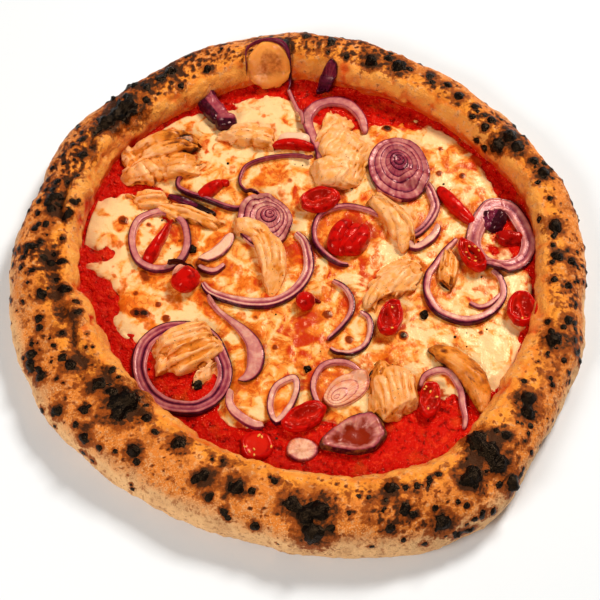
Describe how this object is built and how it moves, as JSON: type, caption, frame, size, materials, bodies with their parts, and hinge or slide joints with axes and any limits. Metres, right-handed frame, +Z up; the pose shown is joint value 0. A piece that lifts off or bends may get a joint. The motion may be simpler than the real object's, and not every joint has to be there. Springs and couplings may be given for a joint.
{
  "type": "whole chicken pizza",
  "caption": "Whole wood-fired pizza with a puffed charred rim, tomato sauce, melted cheese, torn chicken, red onion and small red peppers and tomatoes.",
  "frame": {"origin": "middle of the pizza's outline, on the surface it rests on", "axes": "+Z up out of the pizza's face, -Y towards the viewer in the picture, +X to the viewer's right"},
  "size_m": [0.3243, 0.3356, 0.0348],
  "materials": {
    "crust": "baked dough, matt, golden brown with floury tan and black char",
    "sauce": "wet tomato pulp",
    "cheese": "soft melted mozzarella, satin, with toasted spots",
    "chicken": "roast chicken, moist, fibrous",
    "onion": "soft roast red onion, moist",
    "pepper": "glossy red skin"
  },
  "bodies": {
    "root": {"dough": "crust", "tomato_sauce": "sauce", "melted_cheese": "cheese", "onion_ring_back": "onion", "onion_curl_right": "onion", "onion_curl_right_low": "onion", "onion_hoop_left": "onion", "onion_strip_charred": "onion", "onion_hoop_middle": "onion", "onion_ring_centre": "onion", "onion_ring_left": "onion", "onion_ring_large": "onion", "onion_curl_pale": "onion", "onion_ring_thick_left": "onion", "onion_hook": "onion", "onion_ring_under_hook": "onion", "onion_ring_pointed": "onion", "onion_ring_front": "onion", "onion_arch_front_right": "onion", "onion_curl_centre": "onion", "onion_curl_centre_low": "onion", "onion_ring_lower_right": "onion", "onion_ring_thick_right": "onion", "onion_slice_on_crust": "onion", "onion_petal_dark": "onion", "onion_petal_back": "onion", "onion_petal_pink": "onion", "onion_slice_right": "onion", "onion_slice_spiral": "onion", "onion_slice_pink": "onion", "onion_slice_browned": "onion", "onion_slice_pale": "onion", "chicken_left_back": "chicken", "chicken_back": "chicken", "chicken_large": "chicken", "chicken_slice_right": "chicken", "chicken_slice_middle": "chicken", "chicken_centre_right": "chicken", "chicken_in_ring": "chicken", "chicken_over_ring": "chicken", "chicken_front": "chicken", "chicken_strip_right": "chicken", "chicken_flat_left": "chicken", "chicken_shreds": "chicken", "pepper_with_nub": "pepper", "pepper_spike": "pepper", "pepper_with_stem": "pepper", "pepper_half_moon": "pepper", "pepper_strip_long": "pepper", "pepper_small_ball": "pepper", "tomato_half_middle": "pepper", "tomato_half_in_ring": "pepper", "tomato_half_seeded": "pepper", "tomato_half_right": "pepper", "tomato_half_pointed": "pepper", "tomato_wedge": "pepper", "tomato_slice_front": "pepper", "tomato_half_front": "pepper", "tomato_burnt": "pepper"}
  },
  "joints": []
}
